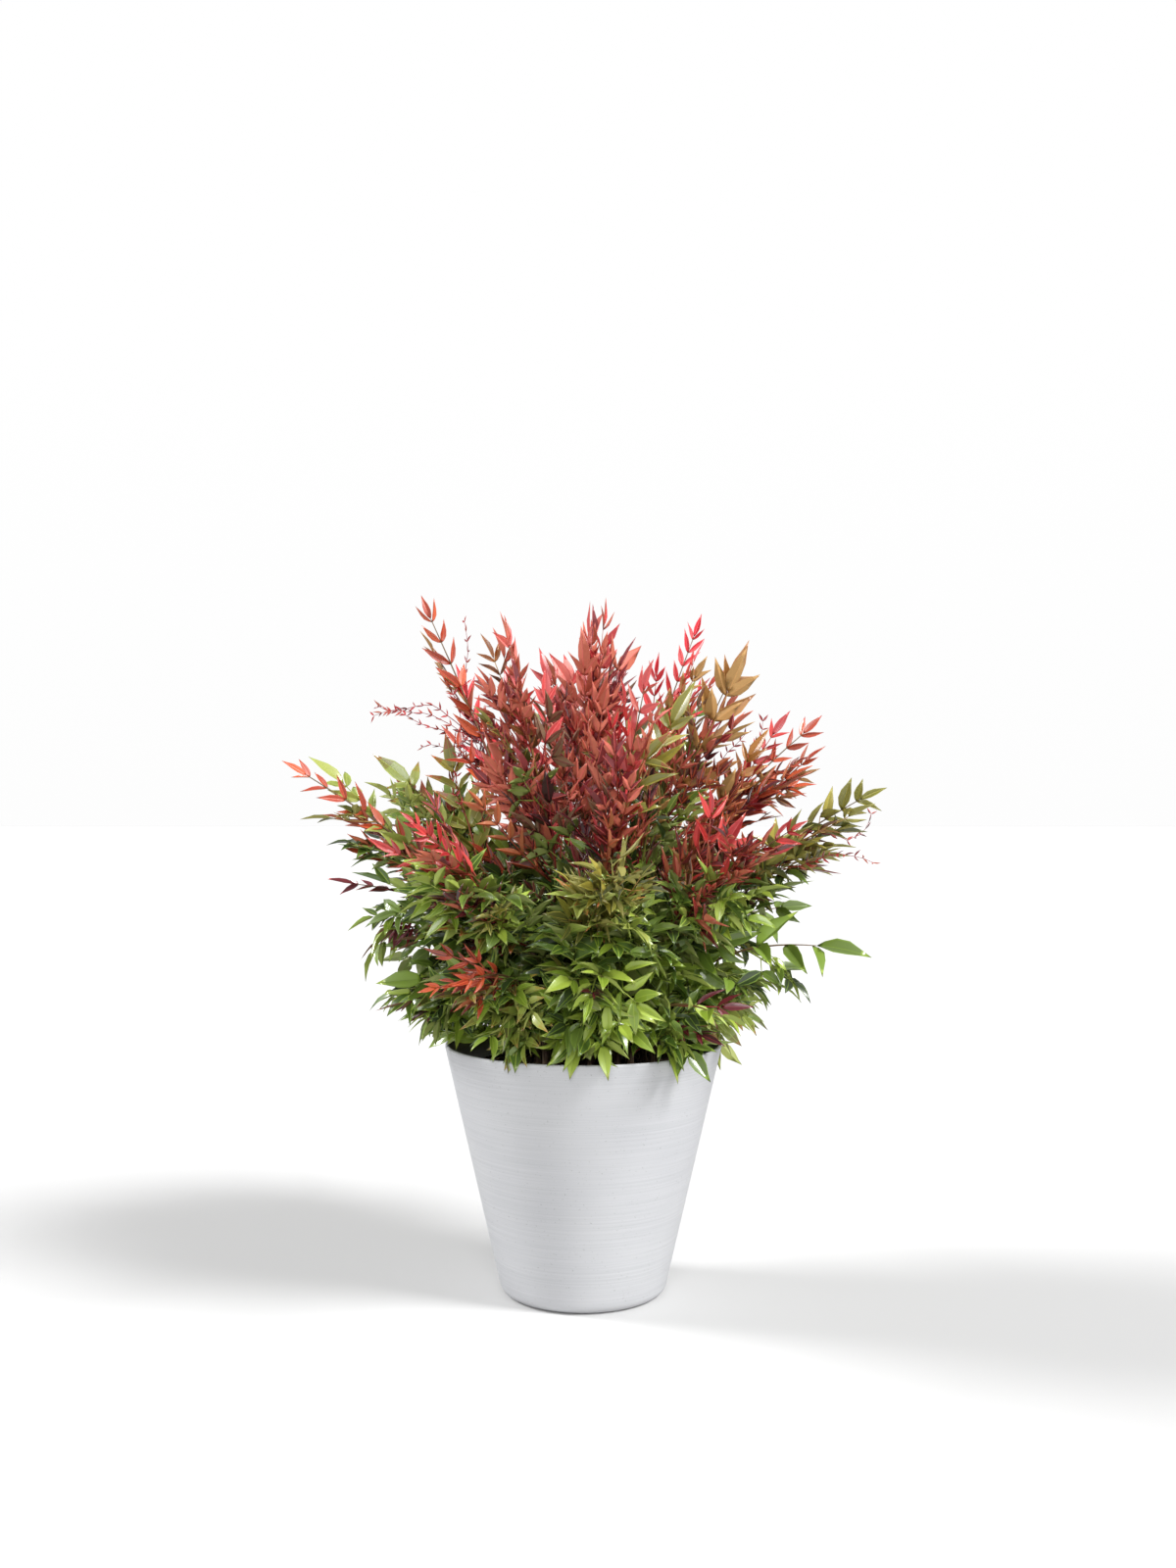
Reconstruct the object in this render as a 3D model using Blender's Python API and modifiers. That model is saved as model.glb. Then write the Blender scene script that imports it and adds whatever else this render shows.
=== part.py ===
"""Heavenly bamboo, a shrub of many canes, in a tapered planter.

Metres, +Z up. The origin is the middle of the planter's flat underside. Azimuths are counted
from +X towards +Y, and the crown is seen from -Y.
"""

import math
import random

import bmesh
import bpy
from mathutils import Matrix, Vector
from mathutils.bvhtree import BVHTree
from mathutils.geometry import intersect_point_line

# Planter and soil
POT_HEIGHT = 0.266
POT_RIM_RADIUS = 0.150
POT_BASE_RADIUS = 0.0875
POT_WALL = 0.0045
POT_FLOOR = 0.007
POT_FOOT_ROUND = 0.012
POT_LIP_ROUND = 0.0020
POT_FLOOR_CHAMFER = (0.003, 0.006)
POT_STEPS = 40
POT_SLOPE = math.atan2(POT_RIM_RADIUS - POT_BASE_RADIUS, POT_HEIGHT)
SOIL_BELOW_RIM = 0.028
SOIL_CHAMFER = (0.006, 0.008)
SOIL_STEPS = 24
CLEARANCE = 0.0003

# Canes
CANE_RADIUS = 0.0040
CANE_FLARE = 1.5
CANE_FLARE_HEIGHT = 0.010
CANE_TIP_SHARE = 0.58
CANE_PARTS = 4
CANE_RISE = 0.62

# The crown spreads from its heart, a point just above the rim.
HEART = Vector((0.0, 0.0, 0.306))
CANES_WITHIN = 0.16
SPACE_MARGIN = 0.0007
LIMB_MARGIN = 0.0012
POT_MARGIN = 0.003

# Foliage
LEAF_WIDTH_SHARE = 0.40
LEAF_THICK_SHARE = 0.03
LEAF_WIDEST_AT = 0.40
LEAF_KEEL_SHARE = 0.07
LEAF_SINK = 0.0003
LAST_LEAF_SINK = 0.0030
LEAF_ROOT_SHARE = 0.12
LEAF_SPREAD = (36, 54)
LEAF_SPREAD_STEP = 4
LEAF_LIFT = (-0.1, 0.35)
LEAF_ROLL = 0.6
LEAF_LENGTHS = (0.82, 1.0)
LEAF_TRIES = 6
TWIG_SIDES = 3
STEM_RADIUS = 0.0026
STEM_PARTS = 3
STEM_KNEE = 0.45
STEM_PAIRS = 3
STEM_PAIRS_AT = (0.68, 0.95)
RACHIS_RADIUS = 0.0012
TWIG_TIP_SHARE = 0.75
SPRAYS = 7
SPRAYS_AT = (0.10, 0.62)
SPRAY_SHARE = 0.95
SPRAY_LEAN = (38, 60)
SPRAY_ROLL = 0.9
SPRAY_PAIRS = 2
SPRAY_PAIRS_AT = (0.45, 0.9)
SPRAY_ROOT_SHARE = 0.15
SPRAY_TRIES = 8
SPRAY_TURN_STEP = 0.35
GOLDEN_ANGLE = math.radians(137.5)
UP = Vector((0.0, 0.0, 1.0))

# Each ring of masses: how far from the middle its canes stand, how far from the heart they end,
# the length of its leaves, how its sprays bend, how many leaves each mass has at most, and for
# each mass, going round, the azimuth, the elevation and the reach of its tip from the heart.
RINGS = {
    "top": dict(
        foot=0.000, cane_end=0.130, leaf=0.078, bend=0.00, most=21,
        masses=((0, 89, 0.448),),
    ),
    "upper": dict(
        foot=0.025, cane_end=0.125, leaf=0.078, bend=0.10, most=20,
        masses=(
            (25, 71, 0.460), (98, 64, 0.420), (176, 68, 0.490),
            (238, 69, 0.449), (290, 62, 0.410), (335, 64, 0.440),
        ),
    ),
    "middle": dict(
        foot=0.050, cane_end=0.118, leaf=0.076, bend=0.10, most=19,
        masses=(
            (10, 49, 0.420), (52, 38, 0.370), (97, 36, 0.360), (138, 38, 0.365), (170, 49, 0.365),
            (197, 39, 0.420), (236, 35, 0.355), (278, 33, 0.345), (316, 34, 0.370), (347, 36, 0.412),
        ),
    ),
    "lower": dict(
        foot=0.078, cane_end=0.105, leaf=0.072, bend=-0.25, most=16,
        masses=(
            (5, 21, 0.292), (32, -1, 0.301), (75, 5, 0.285), (118, 4, 0.285), (154, 6, 0.280),
            (182, 25, 0.315), (204, 5, 0.255), (240, 9, 0.260), (275, 10, 0.262),
            (309, -2, 0.265), (340, 10, 0.342),
        ),
    ),
}

TINTS = {
    "pot": ((0.62, 0.63, 0.65), 0.55),
    "soil": ((0.035, 0.022, 0.014), 0.95),
    "cane_bark": ((0.13, 0.08, 0.045), 0.8),
    "top": ((0.42, 0.055, 0.045), 0.45),
    "upper": ((0.38, 0.06, 0.035), 0.45),
    "middle": ((0.27, 0.12, 0.03), 0.45),
    "lower": ((0.09, 0.19, 0.03), 0.4),
}


def clear_scene():
    """Starts from an empty scene with one collection for the plant and one for what is joined."""
    for obj in list(bpy.data.objects):
        bpy.data.objects.remove(obj)
    collections = []
    for name in ("heavenly_bamboo", "to_join"):
        collection = bpy.data.collections.new(name)
        bpy.context.scene.collection.children.link(collection)
        collections.append(collection)
    return collections


def finish(name, colour, roughness):
    """A painted or natural finish of one colour."""
    material = bpy.data.materials.new(name)
    material.use_nodes = True
    shader = material.node_tree.nodes["Principled BSDF"]
    shader.inputs["Base Color"].default_value = (*colour, 1.0)
    shader.inputs["Roughness"].default_value = roughness
    shader.inputs["Metallic"].default_value = 0.0
    return material


def add_object(name, data, material=None):
    obj = bpy.data.objects.new(name, data)
    PLANT.objects.link(obj)
    if material:
        data.materials.append(material)
    return obj


def pot_outer_radius(height):
    """The radius of the planter's straight outer side."""
    share = height / POT_HEIGHT
    return POT_BASE_RADIUS + (POT_RIM_RADIUS - POT_BASE_RADIUS) * share


def arc(centre, radius, start, end, steps):
    """Points on an arc, in degrees, in the plane of a turned profile."""
    points = []
    for step in range(steps + 1):
        angle = math.radians(start + (end - start) * step / steps)
        points.append((centre[0] + radius * math.cos(angle), centre[1] + radius * math.sin(angle)))
    return points


def turned(name, profile, steps, material):
    """A shape turned round Z from a profile that starts and ends on the axis."""
    mesh = bpy.data.meshes.new(name)
    bm = bmesh.new()
    corners = [bm.verts.new((radius, 0.0, height)) for radius, height in profile]
    for first, second in zip(corners, corners[1:]):
        bm.edges.new((first, second))
    bm.to_mesh(mesh)
    bm.free()
    obj = add_object(name, mesh, material)
    screw = obj.modifiers.new("turn", "SCREW")
    screw.steps = steps
    screw.render_steps = steps
    screw.use_merge_vertices = True
    screw.merge_threshold = 0.00002
    screw.use_smooth_shade = True
    return obj


def pot_profile():
    """Up the inside from the floor's middle, over the lip, and down the outside to the underside."""
    lean = math.degrees(POT_SLOPE)
    wall_across = POT_WALL / math.cos(POT_SLOPE)
    foot_x = pot_outer_radius(0.0) - POT_FOOT_ROUND * math.tan((math.pi / 2 - POT_SLOPE) / 2)
    foot = arc((foot_x, POT_FOOT_ROUND), POT_FOOT_ROUND, -lean, -90, 3)
    lip_z = POT_HEIGHT - POT_LIP_ROUND
    lip_x = pot_outer_radius(lip_z) - wall_across / 2
    lip = arc((lip_x, lip_z), POT_LIP_ROUND, 180 - lean, -lean, 3)
    inward, upward = POT_FLOOR_CHAMFER
    inner_floor = (pot_outer_radius(POT_FLOOR) - wall_across - inward, POT_FLOOR)
    inner_corner = (pot_outer_radius(POT_FLOOR + upward) - wall_across, POT_FLOOR + upward)
    return [(0.0, POT_FLOOR), inner_floor, inner_corner, *lip, *foot, (0.0, 0.0)]


def soil_profile():
    """Potting soil that fills the planter, clear of its wall and floor."""
    inside = POT_WALL / math.cos(POT_SLOPE) + 2.5 * CLEARANCE
    inward, upward = SOIL_CHAMFER
    top = POT_HEIGHT - SOIL_BELOW_RIM
    bottom = POT_FLOOR + CLEARANCE
    chamfer = bottom + upward
    return [
        (0.0, top),
        (pot_outer_radius(top) - inside, top),
        (pot_outer_radius(chamfer) - inside, chamfer),
        (pot_outer_radius(bottom) - inside - inward, bottom),
        (0.0, bottom),
    ]


def heading(azimuth, elevation):
    flat = math.cos(elevation)
    return Vector((flat * math.cos(azimuth), flat * math.sin(azimuth), math.sin(elevation)))


def plan_masses():
    """Every mass of foliage: its name, the way it faces, its reach, and the path of its cane."""
    plan = []
    soil_top = POT_HEIGHT - SOIL_BELOW_RIM + CLEARANCE
    for ring, values in RINGS.items():
        for number, (azimuth, elevation, reach) in enumerate(values["masses"], 1):
            azimuth = math.radians(azimuth)
            facing = heading(azimuth, math.radians(elevation))
            foot = heading(azimuth, 0.0) * values["foot"]
            foot.z = soil_top
            path = cane_path(foot, HEART + facing * values["cane_end"])
            name = ring if len(values["masses"]) == 1 else f"{ring}_{number}"
            plan.append(dict(values, ring=ring, name=name, facing=facing, reach=reach, path=path))
    for mass in plan:
        mass["walls"] = [
            (other["facing"] - mass["facing"]).normalized() for other in plan if other is not mass
        ]
    return plan


def cane_path(foot, end):
    """A cane stands straight up out of the soil, then arches over to its end."""
    start = foot + UP * CANE_FLARE_HEIGHT
    knee = Vector((start.x, start.y, start.z + (end.z - start.z) * CANE_RISE))
    points = [foot]
    for part in range(CANE_PARTS + 1):
        t = part / CANE_PARTS
        points.append(start * (1 - t) ** 2 + knee * 2 * t * (1 - t) + end * t**2)
    return points


def cane_radii(path):
    """The root flare at the soil, then an even taper to the cane's end."""
    radii = [CANE_RADIUS * CANE_FLARE]
    above = len(path) - 1
    for part in range(above):
        radii.append(CANE_RADIUS * (1 - (1 - CANE_TIP_SHARE) * part / (above - 1)))
    return radii


def make_cane(mass, material):
    curve = bpy.data.curves.new(f"cane_{mass['name']}", "CURVE")
    curve.dimensions = "3D"
    curve.bevel_depth = 1.0
    curve.bevel_resolution = 1
    curve.use_fill_caps = True
    path = mass["path"]
    spline = curve.splines.new("POLY")
    spline.points.add(len(path) - 1)
    for point, place, radius in zip(spline.points, path, cane_radii(path)):
        point.co = (*place, 1.0)
        point.radius = radius
    add_object(curve.name, curve, material)


def leaf_mesh():
    """One leaf of eight faces, drawn along +X with a length of 1, keeled along its midrib."""
    mesh = bpy.data.meshes.new("leaf")
    bm = bmesh.new()
    bmesh.ops.create_uvsphere(bm, u_segments=4, v_segments=2, radius=1.0)
    for vert in bm.verts:
        across = round(vert.co.y)
        through = round(vert.co.z)
        along = 0.0 if vert.co.x < -0.5 else 1.0
        if across or through:
            along = LEAF_WIDEST_AT
        keel = abs(across) * LEAF_KEEL_SHARE
        vert.co = (
            along,
            across * LEAF_WIDTH_SHARE / 2,
            through * LEAF_THICK_SHARE / 2 + keel,
        )
    bm.to_mesh(mesh)
    bm.free()
    return mesh


def leaf_probe():
    """Points on the outline and both ridges of a leaf of length 1, to tell where it reaches."""
    widest = LEAF_WIDEST_AT
    side = LEAF_WIDTH_SHARE / 2
    root = Vector((LEAF_ROOT_SHARE, 0.0, 0.0))
    tip = Vector((1.0, 0.0, 0.0))
    ridges = ((side, LEAF_KEEL_SHARE), (-side, LEAF_KEEL_SHARE), (0.0, -LEAF_THICK_SHARE / 2))
    points = []
    for across, through in ridges:
        points += between([root, Vector((widest, across, through)), tip], parts=5)
    return points


def between(points, parts=4):
    """Points along a polyline, close enough together to test it."""
    found = []
    for first, second in zip(points, points[1:]):
        found += [first.lerp(second, part / parts) for part in range(parts + 1)]
    return found


def turned_to(along, normal):
    """The rotation that lays +X along a direction with +Z near a normal."""
    x_axis = along.normalized()
    y_axis = normal.cross(x_axis).normalized()
    return Matrix((x_axis, y_axis, x_axis.cross(y_axis))).transposed()


def twig_mesh(name, points, radii, growing=None):
    """A closed three-sided twig, extruded from its root through the points. Its root is square to
    the direction it grows in, or else to its first stretch."""
    mesh = bpy.data.meshes.new(name)
    bm = bmesh.new()
    side = (points[1] - points[0]).orthogonal()
    for index, (point, radius) in enumerate(zip(points, radii)):
        before = points[max(index - 1, 0)]
        after = points[min(index + 1, len(points) - 1)]
        onward = growing if growing and index == 0 else after - before
        turn = turned_to(side, onward).to_4x4()
        place = Matrix.Translation(point) @ turn @ Matrix.Scale(radius, 4)
        if index == 0:
            bmesh.ops.create_circle(bm, cap_ends=True, segments=TWIG_SIDES, radius=1.0, matrix=place)
            cap = bm.faces[:]
        else:
            made = bmesh.ops.extrude_face_region(bm, geom=cap)["geom"]
            if index > 1:
                bmesh.ops.delete(bm, geom=cap, context="FACES_ONLY")
            cap = [item for item in made if isinstance(item, bmesh.types.BMFace)]
            corners = [item for item in made if isinstance(item, bmesh.types.BMVert)]
            bmesh.ops.transform(bm, matrix=place @ last_place.inverted(), verts=corners)
        last_place = place
    bmesh.ops.recalc_face_normals(bm, faces=bm.faces[:])
    bm.to_mesh(mesh)
    bm.free()
    return mesh


def is_clear(points, mass, radius=0.0):
    """True if the points keep to the mass's own space, and off the canes, the planter and the soil."""
    for point in points:
        from_heart = point - HEART
        if from_heart.length > mass["reach"] + SPACE_MARGIN:
            return False
        if any(from_heart.dot(wall) > -SPACE_MARGIN - radius for wall in mass["walls"]):
            return False
        if point.z < POT_HEIGHT + POT_MARGIN + radius:
            across = math.hypot(point.x, point.y)
            if across < pot_outer_radius(min(point.z, POT_HEIGHT)) + POT_MARGIN + radius:
                return False
        if from_heart.length < CANES_WITHIN and near_cane(point, radius):
            return False
    return True


def near_cane(point, radius):
    for path, radii in CANE_SHAPES:
        for first, second, thickness in zip(path, path[1:], radii):
            nearest, share = intersect_point_line(point, first, second)
            nearest = first.lerp(second, min(max(share, 0.0), 1.0))
            if (point - nearest).length < thickness + radius + LIMB_MARGIN:
                return True
    return False


def add_piece(name, mesh, matrix=None):
    obj = bpy.data.objects.new(name, mesh)
    TO_JOIN.objects.link(obj)
    if matrix:
        obj.matrix_world = matrix
    return obj


def tree_of(mesh, place):
    """The surface of a mesh, for telling whether another one touches it."""
    bm = bmesh.new()
    bm.from_mesh(mesh)
    bm.transform(place)
    tree = BVHTree.FromBMesh(bm)
    bm.free()
    return tree


def add_leaf(root, sink, along, normal, length, mass, taken):
    """Fuses a leaf on, with its root sunk in the twig, unless it would leave the mass's space or
    touch another leaf."""
    turn = turned_to(along, normal)
    start = root - turn.col[0] * sink
    place = Matrix.Translation(start) @ turn.to_4x4() @ Matrix.Scale(length, 4)
    if not is_clear([place @ point for point in LEAF_PROBE], mass):
        return False
    past_root = Matrix.Translation((LEAF_ROOT_SHARE, 0.0, 0.0)) @ Matrix.Scale(1 - LEAF_ROOT_SHARE, 4)
    tree = tree_of(LEAF, place @ past_root)
    if any(tree.overlap(other) for other in taken):
        return False
    taken.append(tree)
    add_piece("leaf", LEAF, place)
    return True


def add_pairs(points, pairs_at, pairs, normal, mass, taken, rng):
    """Pairs of leaves along a twig, from its tip inwards, and one leaf at its end."""
    first_share, last_share = pairs_at
    ending = (points[-1] - points[-2]).normalized()
    made = int(add_leaf(points[-1], LAST_LEAF_SINK, ending, normal, mass["leaf"], mass, taken))
    for pair in range(pairs):
        share = last_share + (first_share - last_share) * pair / max(pairs - 1, 1)
        place = share * (len(points) - 1)
        step = min(int(place), len(points) - 2)
        root = points[step].lerp(points[step + 1], place - step)
        direction = (points[step + 1] - points[step]).normalized()
        sideways = normal.cross(direction).normalized()
        for sign in (-1, 1):
            for attempt in range(LEAF_TRIES):
                spread = math.radians(rng.uniform(*LEAF_SPREAD) + LEAF_SPREAD_STEP * attempt)
                lift = rng.uniform(*LEAF_LIFT)
                along = direction * math.cos(spread) + sideways * sign * math.sin(spread)
                along = (along + normal * lift).normalized()
                roll = Matrix.Rotation(rng.uniform(-LEAF_ROLL, LEAF_ROLL), 3, along)
                length = mass["leaf"] * rng.uniform(*LEAF_LENGTHS)
                if add_leaf(root, LEAF_SINK, along, roll @ normal, length, mass, taken):
                    made += 1
                    break
    return made


def add_spray(root, along, normal, mass, taken, rng):
    """A compound leaf: a straight midrib, with pairs of leaves along it and one at its end."""
    tip = root + (along + UP * mass["bend"]).normalized() * mass["leaf"] * SPRAY_SHARE
    if not is_clear(between([root, tip])[1:], mass, RACHIS_RADIUS):
        return 0
    radii = [RACHIS_RADIUS, RACHIS_RADIUS * TWIG_TIP_SHARE]
    points = [root, tip]
    twig = twig_mesh("rachis", points, radii)
    past_root = [root.lerp(tip, SPRAY_ROOT_SHARE), tip]
    tree = tree_of(twig_mesh("rachis", past_root, radii), Matrix())
    if any(tree.overlap(other) for other in taken):
        return 0
    made = add_pairs(points, SPRAY_PAIRS_AT, SPRAY_PAIRS, normal, mass, taken, rng)
    if made:
        add_piece("rachis", twig)
        taken.append(tree)
    return made


def is_closed(mesh):
    bm = bmesh.new()
    bm.from_mesh(mesh)
    closed = all(edge.is_manifold for edge in bm.edges)
    bm.free()
    return closed


def joined(name, base_mesh, material):
    """One closed body: the stem, joined with everything in the collection to join."""
    obj = add_object(name, base_mesh)
    boolean = obj.modifiers.new("join", "BOOLEAN")
    boolean.operation = "UNION"
    boolean.operand_type = "COLLECTION"
    boolean.collection = TO_JOIN
    for solver in ("EXACT", "MANIFOLD"):
        boolean.solver = solver
        graph = bpy.context.evaluated_depsgraph_get()
        mesh = bpy.data.meshes.new_from_object(obj.evaluated_get(graph))
        drop_scraps(mesh)
        if is_closed(mesh):
            break
        print(name, solver, "is not closed")
    obj.modifiers.clear()
    obj.data = mesh
    mesh.name = name
    mesh.materials.clear()
    mesh.materials.append(material)
    for piece in list(TO_JOIN.objects):
        bpy.data.objects.remove(piece)
    return obj


def drop_scraps(mesh):
    """Leaves only the largest connected body, in case a leaf fell short of its twig."""
    bm = bmesh.new()
    bm.from_mesh(mesh)
    unseen = set(bm.verts)
    bodies = []
    while unseen:
        body = set()
        front = [unseen.pop()]
        while front:
            vert = front.pop()
            body.add(vert)
            for edge in vert.link_edges:
                other = edge.other_vert(vert)
                if other in unseen:
                    unseen.remove(other)
                    front.append(other)
        bodies.append(body)
    bodies.sort(key=len, reverse=True)
    for body in bodies[1:]:
        bmesh.ops.delete(bm, geom=list(body), context="VERTS")
    bm.to_mesh(mesh)
    bm.free()


def make_mass(mass, seed, material):
    """A stem that grows on from the cane's end to the mass's tip, with sprays of leaves round it."""
    rng = random.Random(seed)
    path = mass["path"]
    growing = (path[-1] - path[-2]).normalized()
    root = path[-1] + growing * CLEARANCE
    tip = HEART + mass["facing"] * mass["reach"]
    knee = root + growing * (tip - root).length * STEM_KNEE
    last = 1 - (mass["leaf"] - LAST_LEAF_SINK) / (tip - root).length
    stem = []
    for part in range(STEM_PARTS + 1):
        t = last * part / STEM_PARTS
        stem.append(root * (1 - t) ** 2 + knee * 2 * t * (1 - t) + tip * t**2)
    to_tip = (tip - root).normalized()
    normal = to_tip.cross(UP if abs(to_tip.z) < 0.95 else Vector((0.0, 1.0, 0.0)))
    normal = normal.cross(to_tip).normalized()
    taper = (RACHIS_RADIUS - STEM_RADIUS) / STEM_PARTS
    radii = [STEM_RADIUS + taper * part for part in range(STEM_PARTS + 1)]
    taken = []
    leaves = add_pairs(stem, STEM_PAIRS_AT, STEM_PAIRS, normal, mass, taken, rng)
    turn = rng.uniform(0, math.tau)
    for number in range(SPRAYS):
        first_share, last_share = SPRAYS_AT
        share = first_share + (last_share - first_share) * number / (SPRAYS - 1)
        place = share * STEM_PARTS
        step = int(place)
        spray_root = stem[step].lerp(stem[step + 1], place - step)
        direction = (stem[step + 1] - stem[step]).normalized()
        turn += GOLDEN_ANGLE
        for attempt in range(SPRAY_TRIES):
            angle = turn + SPRAY_TURN_STEP * attempt
            outward = Matrix.Rotation(angle, 3, direction) @ direction.orthogonal().normalized()
            lean = math.radians(rng.uniform(*SPRAY_LEAN))
            along = (direction * math.cos(lean) + outward * math.sin(lean)).normalized()
            face = (direction * math.sin(lean) - outward * math.cos(lean)).normalized()
            face = Matrix.Rotation(rng.uniform(-SPRAY_ROLL, SPRAY_ROLL), 3, along) @ face
            made = add_spray(spray_root, along, face, mass, taken, rng)
            if made:
                leaves += made
                break
        if leaves >= mass["most"]:
            break
    joined(f"foliage_{mass['name']}", twig_mesh("stem", stem, radii, growing), material)
    return leaves


PLANT, TO_JOIN = clear_scene()
FINISHES = {name: finish(name, *values) for name, values in TINTS.items()}
MASSES = plan_masses()
CANE_SHAPES = [(mass["path"], cane_radii(mass["path"])) for mass in MASSES]
LEAF = leaf_mesh()
LEAF_PROBE = leaf_probe()

turned("pot", pot_profile(), POT_STEPS, FINISHES["pot"])
turned("soil", soil_profile(), SOIL_STEPS, FINISHES["soil"])
leaf_count = 0
for mass_number, planned in enumerate(MASSES):
    make_cane(planned, FINISHES["cane_bark"])
    leaf_count += make_mass(planned, mass_number + 11, FINISHES[planned["ring"]])
print(leaf_count, "leaves")
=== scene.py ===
"""Heavenly bamboo in a tapered pale planter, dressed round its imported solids."""

import random
from math import atan2, cos, degrees, hypot, pi, radians, sin, sqrt, tan, tau

import bmesh
import bpy
import numpy as np
from mathutils import Matrix, Vector, noise


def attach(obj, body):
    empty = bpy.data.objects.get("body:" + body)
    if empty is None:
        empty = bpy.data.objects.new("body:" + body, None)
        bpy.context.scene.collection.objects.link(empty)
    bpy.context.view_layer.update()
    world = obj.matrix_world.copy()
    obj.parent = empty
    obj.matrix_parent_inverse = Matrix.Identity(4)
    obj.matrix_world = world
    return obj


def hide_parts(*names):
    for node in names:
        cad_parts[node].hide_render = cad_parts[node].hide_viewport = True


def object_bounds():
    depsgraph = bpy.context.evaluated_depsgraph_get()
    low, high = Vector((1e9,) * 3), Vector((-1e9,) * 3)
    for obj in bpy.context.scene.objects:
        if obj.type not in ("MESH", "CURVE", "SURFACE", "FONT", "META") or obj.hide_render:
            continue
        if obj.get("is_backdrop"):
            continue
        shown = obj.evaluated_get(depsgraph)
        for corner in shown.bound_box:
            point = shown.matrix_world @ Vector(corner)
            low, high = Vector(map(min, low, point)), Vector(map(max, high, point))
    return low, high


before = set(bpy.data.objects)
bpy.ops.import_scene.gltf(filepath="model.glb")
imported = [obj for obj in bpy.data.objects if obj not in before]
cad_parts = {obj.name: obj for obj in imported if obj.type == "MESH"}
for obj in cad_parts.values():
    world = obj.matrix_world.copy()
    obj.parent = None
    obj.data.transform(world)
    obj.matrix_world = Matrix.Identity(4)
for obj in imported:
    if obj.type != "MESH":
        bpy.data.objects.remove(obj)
cad_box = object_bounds()

# The planter: a light cast composite, turned on the outside, so that fine lines run round it.
# It has a thin rounded lip, a wall that leans out evenly, and a rounded edge at its foot.

POT_HEIGHT = 0.266
POT_RIM_RADIUS = 0.150
POT_BASE_RADIUS = 0.0875
POT_WALL = 0.0045
POT_FLOOR = 0.007
POT_FLOOR_BEVEL = 0.006
POT_FOOT_ROUND = 0.012
POT_LIP_ROUND = 0.0020
POT_TURNS = 160
POT_SLOPE = atan2(POT_RIM_RADIUS - POT_BASE_RADIUS, POT_HEIGHT)
POT_WALL_ACROSS = POT_WALL / cos(POT_SLOPE)


def pot_outer_radius(height):
    """The radius of the planter's straight outer side."""
    return POT_BASE_RADIUS + (POT_RIM_RADIUS - POT_BASE_RADIUS) * height / POT_HEIGHT


def arc(centre, radius, start, end, steps):
    """Points on an arc, in degrees, in the plane of a turned profile."""
    angles = [radians(start + (end - start) * step / steps) for step in range(steps + 1)]
    return [(centre[0] + radius * cos(a), centre[1] + radius * sin(a)) for a in angles]


def stretch(start, end, steps):
    """Points between two ends of a straight stretch of a profile, without the ends."""
    shares = [step / steps for step in range(1, steps)]
    return [(start[0] + (end[0] - start[0]) * s, start[1] + (end[1] - start[1]) * s) for s in shares]


def mesh_from(name, bm):
    """The mesh of a draft, which is done with."""
    mesh = bpy.data.meshes.new(name)
    bm.to_mesh(mesh)
    bm.free()
    return mesh


def turned(name, profile, turns):
    """A closed mesh turned round Z from a profile that starts and ends on the axis."""
    bm = bmesh.new()
    corners = [bm.verts.new((radius, 0.0, height)) for radius, height in profile]
    edges = [bm.edges.new(pair) for pair in zip(corners, corners[1:])]
    around = dict(cent=(0, 0, 0), axis=(0, 0, 1), angle=tau, steps=turns)
    bmesh.ops.spin(bm, geom=corners + edges, use_merge=True, **around)
    bmesh.ops.remove_doubles(bm, verts=bm.verts[:], dist=0.00002)
    bmesh.ops.recalc_face_normals(bm, faces=bm.faces[:])
    return mesh_from(name, bm)


def shown(name, mesh, materials):
    """Puts a finished mesh into the scene, smooth, with its materials."""
    obj = bpy.data.objects.new(name, mesh)
    bpy.context.scene.collection.objects.link(obj)
    for material in materials:
        mesh.materials.append(material)
    mesh.shade_smooth()
    return obj


def finish(name, colour, roughness):
    """A plain finish: a material and its shader, for more nodes where the surface has a pattern."""
    material = bpy.data.materials.new(name)
    material.use_nodes = True
    shader = material.node_tree.nodes["Principled BSDF"]
    shader.inputs["Base Color"].default_value = (*colour, 1.0)
    shader.inputs["Roughness"].default_value = roughness
    return material, shader


def new_node(material, kind):
    return material.node_tree.nodes.new("ShaderNode" + kind)


def link(material, output, socket):
    material.node_tree.links.new(output, socket)


def object_noise(material, scale, detail, stretch_by=(1.0, 1.0, 1.0)):
    """A noise on object coordinates, stretched along the axes."""
    place = new_node(material, "TexCoord")
    mapping = new_node(material, "Mapping")
    mapping.inputs["Scale"].default_value = stretch_by
    grain = new_node(material, "TexNoise")
    grain.inputs["Scale"].default_value = scale
    grain.inputs["Detail"].default_value = detail
    link(material, place.outputs["Object"], mapping.inputs["Vector"])
    link(material, mapping.outputs["Vector"], grain.inputs["Vector"])
    return grain.outputs["Fac"]


def graded(material, value, stops):
    """A colour ramp over a value: each stop is a place from 0 to 1 and a colour."""
    ramp = new_node(material, "ValToRGB")
    marks = ramp.color_ramp.elements
    for mark, (place, colour) in zip(marks, (stops[0], stops[-1])):
        mark.position = place
        mark.color = (*colour, 1.0)
    for place, colour in stops[1:-1]:
        marks.new(place).color = (*colour, 1.0)
    link(material, value, ramp.inputs["Fac"])
    return ramp.outputs["Color"]


def multiplied(material, first, second):
    """Two colours multiplied, so that the second darkens the first."""
    mix = new_node(material, "Mix")
    mix.data_type = "RGBA"
    mix.blend_type = "MULTIPLY"
    mix.inputs["Factor"].default_value = 1.0
    link(material, first, mix.inputs["A"])
    link(material, second, mix.inputs["B"])
    return mix.outputs["Result"]


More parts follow.
